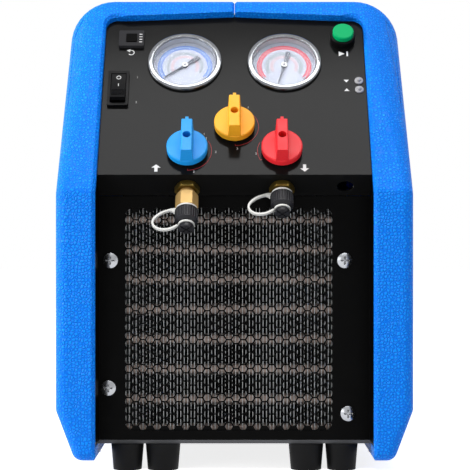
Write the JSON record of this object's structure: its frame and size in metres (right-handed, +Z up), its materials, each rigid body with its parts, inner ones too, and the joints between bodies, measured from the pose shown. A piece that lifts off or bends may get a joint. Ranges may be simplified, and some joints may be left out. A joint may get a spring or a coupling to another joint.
{
  "type": "refrigerant recovery machine",
  "caption": "Portable refrigerant recovery machine: moulded case with handle, sloped panel with gauges, valves and capped flare ports, fan-cooled condenser and piston compressor.",
  "frame": {"origin": "centre of the case's footprint, on the floor that the feet stand on", "axes": "+Z up, +Y from the front towards the rear, +X to the right seen from the front"},
  "size_m": [0.252, 0.37, 0.35],
  "materials": {
    "shell_blue": "moulded, pebble grain",
    "panel_grey": "fine powder coat",
    "cover_black": "satin powder coat",
    "grille_black": "satin powder coat",
    "base_grey": "satin",
    "rubber_black": "moulded",
    "zinc": "zinc plated",
    "gauge_rim": "bright",
    "gauge_black": "moulded",
    "gauge_glass": "clear",
    "dial_white": "printed",
    "needle_black": "satin",
    "knob_blue": "moulded",
    "knob_yellow": "moulded",
    "knob_red": "moulded",
    "brass": "turned",
    "cap_black": "moulded",
    "tether_white": "soft moulded",
    "switch_black": "moulded",
    "start_green": "moulded",
    "lamp_clear": "moulded",
    "copper": "drawn tube",
    "fin_aluminium": "thin sheet",
    "steel_plate": "galvanised",
    "cast_alloy": "cast",
    "motor_paint": "satin"
  },
  "bodies": {
    "machine": {"left_shell": "shell_blue", "right_shell": "shell_blue", "base_plate": "base_grey", "front_cover": "cover_black", "front_grille": "grille_black", "control_panel": "panel_grey", "rear_panel": "panel_grey", "cover_screws": "zinc", "rear_screws": "zinc", "shell_screws": "zinc", "feet": "rubber_black", "foot_screws": "zinc", "valve_block": "brass", "inlet_fitting": "brass", "outlet_fitting": "brass", "port_nuts": "brass", "inlet_adapter": "brass", "inlet_tether": "tether_white", "outlet_tether": "tether_white", "breaker_body": "switch_black", "rocker_housing": "switch_black", "start_collar": "switch_black", "lamp_bezels": "switch_black", "lamp_lenses": "lamp_clear", "condenser_fins": "fin_aluminium", "condenser_tubes": "copper", "return_bends": "copper", "condenser_plates": "steel_plate", "fan_shroud": "steel_plate", "compressor_motor": "motor_paint", "crankcase": "cast_alloy", "cylinder_heads": "cast_alloy", "compressor_cradle": "steel_plate", "compressor_mounts": "rubber_black", "refrigerant_lines": "copper", "capacitor": "gauge_black", "power_inlet": "switch_black", "low_gauge_case": "steel_plate", "low_gauge_bezel": "gauge_rim", "low_gauge_lens": "gauge_glass", "low_gauge_dial": "dial_white", "high_gauge_case": "steel_plate", "high_gauge_bezel": "gauge_rim", "high_gauge_lens": "gauge_glass", "high_gauge_dial": "dial_white"},
    "inlet_valve": {"inlet_knob": "knob_blue", "inlet_stem": "brass"},
    "mode_valve": {"mode_knob": "knob_yellow", "mode_stem": "brass"},
    "outlet_valve": {"outlet_knob": "knob_red", "outlet_stem": "brass"},
    "low_pointer": {"low_gauge_needle": "needle_black"},
    "high_pointer": {"high_gauge_needle": "needle_black"},
    "power_rocker": {"rocker": "switch_black"},
    "start_push": {"start_cap": "start_green"},
    "breaker_push": {"breaker_button": "switch_black"},
    "fan_rotor": {"fan": "gauge_black", "motor_shaft": "zinc"},
    "inlet_cover_cap": {"inlet_cap": "cap_black"},
    "outlet_cover_cap": {"outlet_cap": "cap_black"}
  },
  "joints": [
    {"name": "inlet_valve_turn", "type": "hinge", "parent": "machine", "child": "inlet_valve", "pos_m": [-0.034, -0.15648, 0.2304], "axis": [0, -0.8192, 0.5736], "range_deg": [-180, 0]},
    {"name": "mode_valve_turn", "type": "hinge", "parent": "machine", "child": "mode_valve", "pos_m": [0, -0.14367, 0.2487], "axis": [0, -0.8192, 0.5736], "range_deg": [-180, 0]},
    {"name": "outlet_valve_turn", "type": "hinge", "parent": "machine", "child": "outlet_valve", "pos_m": [0.034, -0.15648, 0.2304], "axis": [0, -0.8192, 0.5736], "range_deg": [0, 90]},
    {"name": "low_pointer_turn", "type": "hinge", "parent": "machine", "child": "low_pointer", "pos_m": [-0.03734, -0.10829, 0.29922], "axis": [0, -0.8192, 0.5736], "range_deg": [-256, 0], "stiffness_Nm_per_rad": 0.002},
    {"name": "high_pointer_turn", "type": "hinge", "parent": "machine", "child": "high_pointer", "pos_m": [0.03734, -0.10829, 0.29922], "axis": [0, -0.8192, 0.5736], "range_deg": [-300, 0], "stiffness_Nm_per_rad": 0.002},
    {"name": "rocker_tilt", "type": "hinge", "parent": "machine", "child": "power_rocker", "pos_m": [-0.08604, -0.12348, 0.27753], "axis": [1, 0, 0], "range_deg": [0, 20]},
    {"name": "start_press", "type": "slide", "parent": "machine", "child": "start_push", "axis": [0, 0.8192, -0.5736], "range_m": [0, 0.003], "stiffness_N_per_m": 300, "springref_m": -0.001},
    {"name": "breaker_pop", "type": "slide", "parent": "machine", "child": "breaker_push", "axis": [0, -0.8192, 0.5736], "range_m": [0, 0.003]},
    {"name": "fan_spin", "type": "hinge", "parent": "machine", "child": "fan_rotor", "pos_m": [-0.00415, -0.1, 0.1045], "axis": [0, 1, 0], "continuous": true},
    {"name": "inlet_cap_turn", "type": "hinge", "parent": "machine", "child": "inlet_cover_cap", "pos_m": [-0.034, -0.15731, 0.20481], "axis": [0, -0.5736, -0.8192], "range_deg": [0, 720]},
    {"name": "outlet_cap_turn", "type": "hinge", "parent": "machine", "child": "outlet_cover_cap", "pos_m": [0.034, -0.15731, 0.20481], "axis": [0, -0.5736, -0.8192], "range_deg": [0, 720]}
  ]
}
